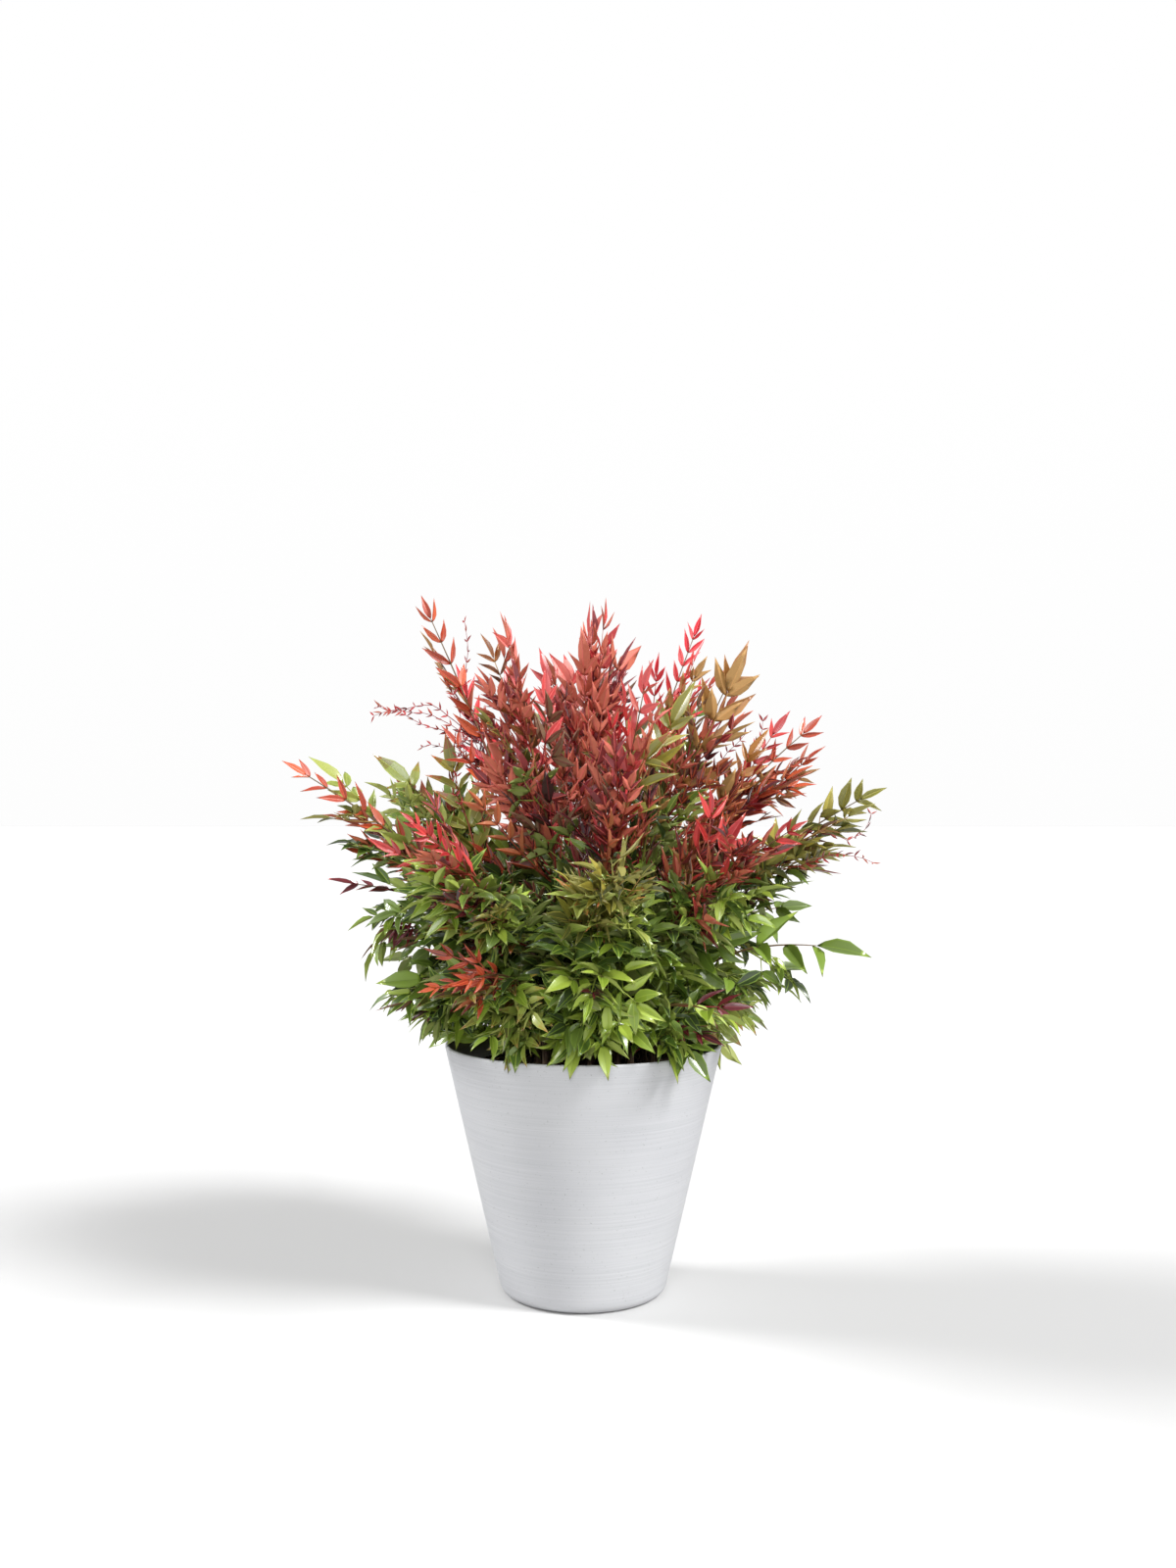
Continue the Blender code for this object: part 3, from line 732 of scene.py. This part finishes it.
def leaf_finishes():
    """For each colouring glossy upper tints, a matt underside, and lighter midribs and margins."""
    made = []
    for colouring, (*tints, light) in TINTS.items():
        gloss = HABITS[colouring]["rough"]
        for number, tint in enumerate(tints, 1):
            material, shader = finish(f"leaf_{colouring}_{number}", painted(tint), 0.5)
            shader.inputs["Coat Weight"].default_value = 0.8
            shader.inputs["Coat Roughness"].default_value = gloss
            made.append(material)
        pale = toward(painted(tints[0]), painted(PALE_TINT), PALE_SHARE)
        made.append(finish(f"leaf_{colouring}_under", pale, 0.6)[0])
        # Midribs and margins are lighter: the midribs in their own colour, the margins partly a paler
        # rim and partly a painted glow of light through the thin edge.
        edge = toward(painted(tints[0]), painted(light), EDGE_SHARE)
        made.append(finish(f"leaf_{colouring}_edge", edge, 0.45)[0])
    return made


def shades_of(colouring, tint, blushing):
    """The material numbers of a leaflet's upper side, turning part, tip, underside, and midrib and
    margins. A dark leaflet is dark on both sides."""
    names = list(TINTS)
    first = names.index(colouring) * FINISHES_EACH
    turning = [first + tint] * 2
    if blushing:
        turning = [names.index(name) * FINISHES_EACH + tint for name in HABITS[colouring]["blush"]]
    under = DARK if tint == DARK else UNDER
    return [first + tint, *turning, first + under, first + EDGE]


BOX_LIMITS = [max(abs(low), abs(high)) + BOX_MARGIN for low, high in zip(*cad_box)]


def hem_radius(point):
    """How far from the middle the crown may reach at a point's height and on its side."""
    right, back = HEM_RIGHT_AND_BACK
    left, front = HEM_LEFT_AND_FRONT
    sideways = (right if point.x > 0 else left) * point.x**2
    endways = (back if point.y > 0 else front) * point.y**2
    spread = (sideways + endways) / max(point.x**2 + point.y**2, 0.0001)
    return HEM_RADIUS + spread * max(point.z - POT_HEIGHT, 0.0)


def is_clear(points, mass):
    """True if the points are within the mass's reach and space, above the crown's hem and off the
    planter. Close to the heart the masses share one space."""
    for point in points:
        from_heart = point - HEART
        distance = from_heart.length
        aside = 1 - from_heart.dot(mass["facing"]) / max(distance, 0.001)
        tip = 1 - TIP_FALL[mass["ring"]] / mass["out"] ** 2 * aside
        shoulder = SHOULDER[mass["ring"]] - SHOULDER_FALL[mass["ring"]] * aside
        if distance > mass["reach"] * min(max(tip, shoulder * mass["out"], LEAST_REACH), 1):
            return False
        if any(abs(place) > limit for place, limit in zip(point, BOX_LIMITS)):
            return False
        if hypot(point.x, point.y) > hem_radius(point):
            return False
        if distance > SHARED_WITHIN:
            if any(from_heart.dot(wall) > SPACE_OVERLAP for wall in mass["walls"]):
                return False
        if point.z < POT_HEIGHT + POT_MARGIN:
            planter_side = pot_outer_radius(min(point.z, POT_HEIGHT))
            if hypot(point.x, point.y) < planter_side + POT_MARGIN:
                return False
    return True


def axes_of(along, normal):
    """The rotation that lays +X along a direction with +Z near a normal."""
    x_axis = along.normalized()
    y_axis = normal.cross(x_axis).normalized()
    return Matrix((x_axis, y_axis, x_axis.cross(y_axis))).transposed()


def add_leaflet(root, along, normal, size, mass, look, rng):
    """One leaflet, unless it would leave the mass's space."""
    length = look["leaf"] * size * rng.uniform(0.80, 1.15)
    hang = look["hang"] * rng.uniform(0.2, 1.6)
    axes = axes_of(along, normal)
    tip = root + axes.col[0] * length * (1 - hang**2 / 6) - axes.col[2] * length * hang / 2
    half = length * look["width"] / 2
    belly = root.lerp(tip, 0.45)
    if not is_clear([tip, belly + axes.col[1] * half, belly - axes.col[1] * half], mass):
        return 0
    tint = rng.choice(look["tint"])
    mass["leaflets"].append(
        dict(
            root=root[:], axes=[list(row) for row in axes], length=length, hang=hang,
            width=length * look["width"] * rng.uniform(0.86, 1.16), lift=rng.uniform(-0.05, 0.12),
            fold=radians(look["fold"] * rng.uniform(0.3, 1.7)), twist=rng.gauss(0, 0.25),
            phase=rng.uniform(0, tau), sway=rng.gauss(0, 0.05),
            shades=shades_of(look["colouring"], tint, look["blushing"]),
        )
    )
    return 1


def turned_off(direction, normal, sign, spread, lift):
    """A direction that leaves a rachis sideways at an angle."""
    sideways = normal.cross(direction).normalized() * sign
    angle = radians(spread)
    return (direction * cos(angle) + sideways * sin(angle) + normal * lift).normalized()


def both_sides(direction, normal, look, widest, rng):
    """The way out to each side of a rachis, and the normal of what grows there."""
    for sign in (-1, 1):
        spread = look["spread"] * rng.uniform(0.85, widest)
        outward = turned_off(direction, normal, sign, spread, rng.uniform(-0.25, 0.4))
        yield outward, Matrix.Rotation(rng.gauss(0, 0.5), 3, outward) @ normal


def curved(root, along, length, bend, parts):
    """Points of a rachis that leaves along a direction and bends up or down on its way."""
    points = [root]
    direction = along.copy()
    for _ in range(parts):
        direction = (direction + UP * bend / parts).normalized()
        points.append(points[-1] + direction * length / parts)
    return points


def on_path(points, from_end):
    """The place and direction at a distance back from the end of a path."""
    for first, second in zip(points[-2::-1], points[:0:-1]):
        stretch_length = (second - first).length
        if from_end <= stretch_length:
            return second.lerp(first, from_end / stretch_length), (second - first).normalized()
        from_end -= stretch_length
    raise ValueError("past the root of the path")


def add_spray(root, along, normal, pairs, size, mass, look, rng):
    """A small spray: a thin rachis with one or two pairs of leaflets and one at its end."""
    spacing = look["leaf"] * 0.48 * size
    points = curved(root, along, spacing * (pairs + 0.3), look["bend"] * 0.6, 3)
    if not is_clear(points[2:], mass):
        return
    ending = (points[-1] - points[-2]).normalized()
    made = add_leaflet(points[-1], ending, normal, size * 1.05, mass, look, rng)
    for pair in range(pairs):
        node, direction = on_path(points, 0.002 + pair * spacing)
        for outward, rolled in both_sides(direction, normal, look, 1.2, rng):
            made += add_leaflet(node, outward, rolled, size * rng.uniform(0.8, 1.0), mass, look, rng)
    if made:
        mass["twigs"].append((points, SPRAY_RADII, look["rachis"]))


def add_compound_leaf(points, radii, normal, size, mass, look, rng, simple):
    """Pairs from the tip of a rachis inwards: single leaflets, then sprays of three and of five."""
    total = length_of(points)
    ending = (points[-1] - points[-2]).normalized()
    made = 0
    for share in (1.1, 0.95, 0.8):
        made = made or add_leaflet(points[-1], ending, normal, size * share, mass, look, rng)
    if not made:
        return
    gone = 0.004
    pair = 0
    while gone < total * 0.90:
        node, direction = on_path(points, gone)
        grown = size * (0.82 + 0.09 * min(pair, 3))
        for outward, rolled in both_sides(direction, normal, look, 1.15, rng):
            if pair < simple:
                add_leaflet(node, outward, rolled, grown, mass, look, rng)
            else:
                leaflets = 1 if pair < simple + 2 else 2
                add_spray(node, outward, rolled, leaflets, size * 0.95, mass, look, rng)
        gone += look["leaf"] * size * (look["gap"] + (0.04 if pair < simple else 0.16) * pair)
        pair += 1
    if radii:
        mass["twigs"].append((points, radii, look["rachis"]))


def weighted(rng, weights):
    return rng.choices(list(weights), list(weights.values()))[0]


def look_of(colouring, mass, rng):
    """What one compound leaf is like: its colouring's habit, its own range of tints and its blush."""
    tint = rng.choice(TINT_CHOICES)
    look = dict(HABITS[colouring], colouring=colouring, bend=mass["bend"], tint=tint)
    look["blushing"] = rng.random() < BLUSHING
    look["leaf"] *= rng.choice(LEAF_SIZES)
    return look


def look_at(place, mass, rng):
    """The look of a compound leaf, from the mass's own colouring and its height in the crown."""
    height = (place.z - POT_HEIGHT) / CROWN_HEIGHT + rng.gauss(0, 0.08)
    mix = next(weights for top, weights in MIX if height < top)
    own = rng.random() < OWN_COLOURING[mass["ring"]] and mass["colouring"] in mix
    return look_of(mass["colouring"] if own else weighted(rng, mix), mass, rng)


def facing_light(along, place, rng):
    """A leaf's upper side turns to the light: up, and out from the crown's heart."""
    out = (place - HEART).normalized()
    light = out * rng.uniform(0.7, 1.5) + UP * rng.uniform(0.3, 0.9)
    normal = (light - along * light.dot(along)).normalized()
    return Matrix.Rotation(rng.gauss(0, 0.6), 3, along) @ normal


def with_tip(points):
    """The outer half of a rachis and the place where its last leaflet ends."""
    return [*points[3:], points[-1] + (points[-1] - points[-2]).normalized() * TIP_ROOM]


def add_leaf_on(node, direction, leans, lengths, mass, rng, inner=True, grown=1.0):
    """One compound leaf on a stem or a cane, a golden angle on from the last one, where there is
    room for it. Inner leaves are old and dark: their dark colourings and tint are partly the old
    leaves' own colour and partly painted shade in the crown's heart."""
    mass["turn"] += GOLDEN_ANGLE
    lean = radians(rng.uniform(*leans))
    length = rng.uniform(*lengths) * grown
    mass = dict(mass, out=rng.choice(LEAF_REACHES) * GIRTH.get(mass["name"], 1.0))
    for attempt in range(LEAF_TRIES):
        turned_by = Matrix.Rotation(mass["turn"] + 0.55 * attempt, 3, direction)
        outward = turned_by @ direction.orthogonal().normalized()
        along = (direction * cos(lean) + outward * sin(lean)).normalized()
        points = curved(node, along, length * (1 - 0.055 * attempt), mass["bend"], 6)
        if is_clear(with_tip(points), mass):
            break
    else:
        return
    look = look_at(points[-1], mass, rng)
    # Inner leaves take dark colourings, and the dark tint on a third of their leaflets: partly the old
    # leaves' own colour, partly painted shade in the crown's heart.
    if inner:
        high = points[-1].z > POT_HEIGHT + 0.4 * CROWN_HEIGHT
        look = dict(look_of(weighted(rng, INNER_MIX[int(high)]), mass, rng), tint=(DARK, 0, 0))
    normal = facing_light(along, points[3], rng)
    simple = ALL_SINGLE if rng.random() < look["spike"] else OUTER_SINGLE
    add_compound_leaf(points, LEAF_RADII, normal, 0.97, mass, look, rng, simple)


def add_skirt(mass, rng):
    """Old leaves low on the outer canes, which lean out over the rim and hang."""
    path = mass["path"]
    azimuth = atan2(mass["facing"].y, mass["facing"].x)
    count, colouring = SKIRT_LEAVES[int(mass["name"].split("_")[1]) - 1]
    for _ in range(count):
        for _ in range(SKIRT_TRIES):
            node, _ = on_path(path, rng.uniform(0.002, 0.030))
            aside = radians(rng.uniform(-40, 40))
            along = heading(azimuth + aside, radians(rng.uniform(-12, 24)))
            points = curved(node, along, rng.uniform(0.045, 0.115), rng.uniform(-1.6, -0.3), 6)
            if is_clear(with_tip(points), mass):
                break
        else:
            continue
        look = dict(look_of(colouring, dict(bend=-0.5), rng), leaf=HABITS[colouring]["leaf"])
        normal = facing_light(along, points[3], rng)
        add_compound_leaf(points, SKIRT_RADII, normal, 0.95, mass, look, rng, OUTER_SINGLE)


def broadside_of(along, rng):
    """The normal of a young shoot, which stands with one broad side to the front."""
    broadside = heading(radians(rng.gauss(270, 45)), radians(20))
    return (broadside - along * broadside.dot(along)).normalized()


def grow_mass(mass, seed):
    """A stem that grows on from the cane's end to the mass's tip, with compound leaves round it
    and round the upper part of the cane."""
    rng = random.Random(seed)
    mass["leaflets"] = []
    mass["twigs"] = []
    mass["out"] = 1.0
    mass["bend"] = BENDS[mass["ring"]]
    path = mass["path"]
    growing = (path[-1] - path[-2]).normalized()
    root = path[-1]
    tip = HEART + mass["facing"] * mass["reach"]
    knee = root + growing * (tip - root).length * STEM_KNEE
    own = look_of(mass["colouring"], mass, rng)
    own["leaf"] = HABITS[mass["colouring"]]["leaf"] * TIP_LEAVES.get(mass["name"], 1.0)
    own["tint"] = (0, 0, 1)
    last = 1 - own["leaf"] * 1.05 / (tip - root).length
    stem = [arched(root, knee, tip, last * part / STEM_POINTS) for part in range(STEM_POINTS + 1)]
    mass["stem"] = stem
    mass["twigs"].append((stem, STEM_RADII, STEM_TWIG))
    ending = (stem[-1] - stem[-2]).normalized()
    normal = broadside_of(ending, rng)
    if mass["ring"] == "lower":
        normal = facing_light(ending, tip, rng)
    tip_half = stem[STEM_POINTS // 2 :]
    add_compound_leaf(tip_half, None, normal, 1.0, mass, own, rng, ALL_SINGLE)
    mass["turn"] = rng.uniform(0, tau)
    count, leans, lengths = STEM_LEAVES[mass["ring"]]
    count = round(count * FEWER_LEAVES.get(mass["name"], 1.0))
    for number in range(count):
        share = 0.02 + 0.68 * number / (count - 1)
        step = int(share * STEM_POINTS)
        node = stem[step].lerp(stem[step + 1], share * STEM_POINTS - step)
        direction = (stem[step + 1] - stem[step]).normalized()
        inner = number < INNER_ON_STEM
        add_leaf_on(node, direction, leans, lengths, mass, rng, inner, 1.1 - 0.40 * share)
    for _ in range(CORE_LEAVES[mass["ring"]]):
        step = int(rng.uniform(0.02, 0.50) * STEM_POINTS)
        direction = (stem[step + 1] - stem[step]).normalized()
        add_leaf_on(stem[step], direction, CORE_LEANS, CORE_LENGTHS, mass, rng)
    leafy = min(0.085, 0.7 * length_of(path))
    for number in range(LEAVES_ON_CANE):
        node, direction = on_path(path, 0.004 + leafy * number / LEAVES_ON_CANE)
        add_leaf_on(node, direction, CANE_LEANS, CANE_LENGTHS, mass, rng)
    if mass["ring"] == "lower":
        add_skirt(mass, rng)


TEMPLATE = leaf_template()
LEAF_FINISHES = leaf_finishes()
TWIG_FINISHES = [
    finish(f"rachis_{number}", painted(tint), 0.5)[0] for number, tint in enumerate(TWIG_TINTS, 1)
]
for seed, mass in enumerate(MASSES, FIRST_SEED):
    grow_mass(mass, seed)

# Shoots that stand out of the outline: the mass that bears each one, how far up the mass's stem
# it leaves, where it ends, its colouring and the size of its leaflets.
SHOOTS = (
    ("top", 0.45, (0.026, -0.02, 0.750), "red", 1.25),
    ("top", 0.40, (-0.052, 0.03, 0.690), "coral", 1.1),
    ("upper_1", 0.40, (0.085, 0.03, 0.690), "scarlet", 1.0),
    ("upper_4", 0.35, (-0.040, -0.07, 0.665), "coral", 1.0),
    ("upper_5", 0.45, (0.115, -0.10, 0.640), "olive", 1.2),
    ("middle_1", 0.35, (0.231, 0.04, 0.620), "red", 1.0),
    ("middle_1", 0.30, (0.203, 0.01, 0.600), "bronze", 1.1),
    ("middle_1", 0.38, (0.272, 0.02, 0.582), "rust", 1.1),
    ("middle_10", 0.30, (0.245, -0.05, 0.490), "red", 1.1),
    ("middle_6", 0.50, (-0.284, -0.06, 0.568), "fresh", 1.0),
    ("middle_5", 0.40, (-0.155, 0.02, 0.600), "olive", 1.1),
    ("middle_7", 0.45, (-0.215, -0.12, 0.480), "red", 1.0),
    ("lower_6", 0.50, (-0.236, -0.05, 0.400), "deep", 1.1),
    ("lower_10", 0.40, (0.172, -0.13, 0.315), "wine", 1.3),
)

# Wisps, two together: the mass that bears them, how far up its stem they leave, their azimuth and
# elevation, in degrees, and their length.
WISPS = (
    ("upper_3", 0.34, 168, 38, 0.150), ("upper_3", 0.44, 196, 46, 0.165),
    ("upper_3", 0.52, 184, 30, 0.140), ("middle_10", 0.50, -12, 22, 0.160),
    ("middle_1", 0.45, 6, 30, 0.130), ("middle_5", 0.40, 176, 52, 0.150),
)
WISP_PARTS = 14
WISP_RADII = [0.0006 - 0.00036 * part / WISP_PARTS for part in range(WISP_PARTS + 1)]
WISP_LEAF = 0.0095

SHOOTS_OUT = 1.8
WISPS_OUT = 2.4
SHOOT_SEED = 9
WISP_SEED = 3


def bearer_of(name, out):
    """The mass that bears a shoot, without the bounds of its space."""
    return dict(next(mass for mass in MASSES if mass["name"] == name), walls=[], out=out)


def add_shoots():
    """Young spikes of leaflets in pairs, along a rachis that curves up a little."""
    rng = random.Random(SHOOT_SEED)
    for name, share, end, colouring, size in SHOOTS:
        mass = bearer_of(name, SHOOTS_OUT)
        root = mass["stem"][round(share * STEM_POINTS)]
        along = Vector(end) - root
        look = dict(look_of(colouring, mass, rng), tint=(0, 0, 1))
        look["leaf"] = HABITS[colouring]["leaf"] * size
        points = curved(root, along.normalized(), along.length - look["leaf"], 0.10, 8)
        normal = broadside_of(points[-1] - points[-2], rng)
        add_compound_leaf(points, SHOOT_RADII, normal, 1.0, mass, look, rng, ALL_SINGLE)


def add_wisps():
    """Very young shoots: thread-thin, curling and dark red, with specks of leaflets in pairs."""
    rng = random.Random(WISP_SEED)
    for name, share, azimuth, elevation, length in WISPS:
        mass = bearer_of(name, WISPS_OUT)
        for which in range(2):
            points = [mass["stem"][int(share * STEM_POINTS) + which]]
            bearing = radians(azimuth + rng.uniform(-14, 14))
            rise = radians(elevation + rng.uniform(-10, 10))
            for _ in range(WISP_PARTS):
                bearing += rng.gauss(0, 0.16)
                rise += rng.gauss(0.02, 0.20)
                points.append(points[-1] + heading(bearing, rise) * length / WISP_PARTS)
            if not is_clear(points[3:], mass):
                continue
            mass["twigs"].append((points, WISP_RADII, WISP_TWIG))
            look = dict(look_of("red", mass, rng), leaf=WISP_LEAF, tint=(0, DARK))
            leafy = points[WISP_PARTS // 3 :]
            for before, after in zip(leafy, leafy[1:]):
                direction = (after - before).normalized()
                turned_by = Matrix.Rotation(rng.uniform(0, 6), 3, direction)
                normal = turned_by @ direction.orthogonal().normalized()
                for sign in (-1, 1):
                    along = turned_off(direction, normal, sign, rng.uniform(28, 60), 0.0)
                    add_leaflet(after, along, normal, 1.0, mass, look, rng)


add_wisps()
add_shoots()


def side_of(mass):
    """The part of the crown that a mass is in, which names the piece that it is joined into."""
    ring = mass["ring"]
    depth = "front" if mass["facing"].y < 0 else "back"
    width = "left" if mass["facing"].x < 0 else "right"
    return {"top": ring, "upper": f"{ring}_{depth}"}.get(ring, f"{ring}_{width}_{depth}")


groups = {}
for mass in MASSES:
    groups.setdefault(side_of(mass), []).append(mass)
for side, masses in groups.items():
    found = [leaf for mass in masses for leaf in mass["leaflets"]]
    strands = [strand for mass in masses for strand in mass["twigs"]]
    leaves = shown(f"leaves_{side}", leaflet_mesh(f"leaves_{side}", found), LEAF_FINISHES)
    twigs = shown(f"twigs_{side}", tubes(f"twigs_{side}", strands, 0), TWIG_FINISHES)
    for piece in (leaves, twigs):
        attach(piece, "root")
    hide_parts(*[f"foliage_{mass['name']}" for mass in masses])


# The studio: a pale floor that runs back out of sight, a broad lamp on the right, a weaker one on
# the left, soft light from all round, and the camera a step and a half away.

bm = bmesh.new()
bmesh.ops.create_grid(bm, x_segments=1, y_segments=1, size=30.0)
pale_floor = finish("pale_floor", (0.53, 0.53, 0.53), 0.9)[0]
floor = shown("floor", mesh_from("floor", bm), [pale_floor])
floor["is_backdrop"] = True

# How bright the room and the backdrop are, by how high a ray looks: 0 level, 1 straight up.
ROOM_LIGHT = ((0.0, 0.08), (0.45, 0.20), (1.0, 0.54))
BACKDROP = ((0.0, 0.985), (0.28, 1.0))
scene = bpy.context.scene
world = bpy.data.worlds.new("studio")
scene.world = world
world.use_nodes = True
ray = new_node(world, "TexCoord")
split = new_node(world, "SeparateXYZ")
link(world, ray.outputs["Generated"], split.inputs["Vector"])
seen = new_node(world, "LightPath")
either = new_node(world, "MixShader")
link(world, seen.outputs["Is Camera Ray"], either.inputs["Fac"])
room = world.node_tree.nodes["Background"]
for number, background, levels in ((2, new_node(world, "Background"), BACKDROP), (1, room, ROOM_LIGHT)):
    greys = [(height, (level,) * 3) for height, level in levels]
    link(world, graded(world, split.outputs["Z"], greys), background.inputs["Color"])
    link(world, background.outputs["Background"], either.inputs[number])
link(world, either.outputs["Shader"], world.node_tree.nodes["World Output"].inputs["Surface"])

# Far lamps: azimuth, elevation, strength, and how soft their shadows are, in degrees.
LAMPS = (
    ("right_lamp", -26, 42, 4.2, 20),
    ("left_lamp", 168, 36, 3.3, 20),
    ("front_lamp", -92, 26, 1.6, 30),
)
for name, azimuth, elevation, strength, softness in LAMPS:
    light = bpy.data.lights.new(name, "SUN")
    light.energy = strength
    light.angle = radians(softness)
    lamp = bpy.data.objects.new(name, light)
    toward_lamp = heading(radians(azimuth), radians(elevation))
    lamp.rotation_euler = toward_lamp.to_track_quat("Z", "Y").to_euler()
    scene.collection.objects.link(lamp)

camera = bpy.data.cameras.new("camera")
camera.lens = 34.7
camera.sensor_fit = "AUTO"
camera.sensor_width = 36.0
camera.clip_start = 0.01
camera_obj = bpy.data.objects.new("camera", camera)
camera_obj.location = (0.005, -1.64, 0.525)
camera_obj.rotation_euler = (pi / 2 + radians(0.7), 0, 0)
scene.collection.objects.link(camera_obj)
scene.camera = camera_obj
scene.view_settings.view_transform = "Standard"

boxes = (cad_box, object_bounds())
[[list(corner) for corner in box] for box in boxes]
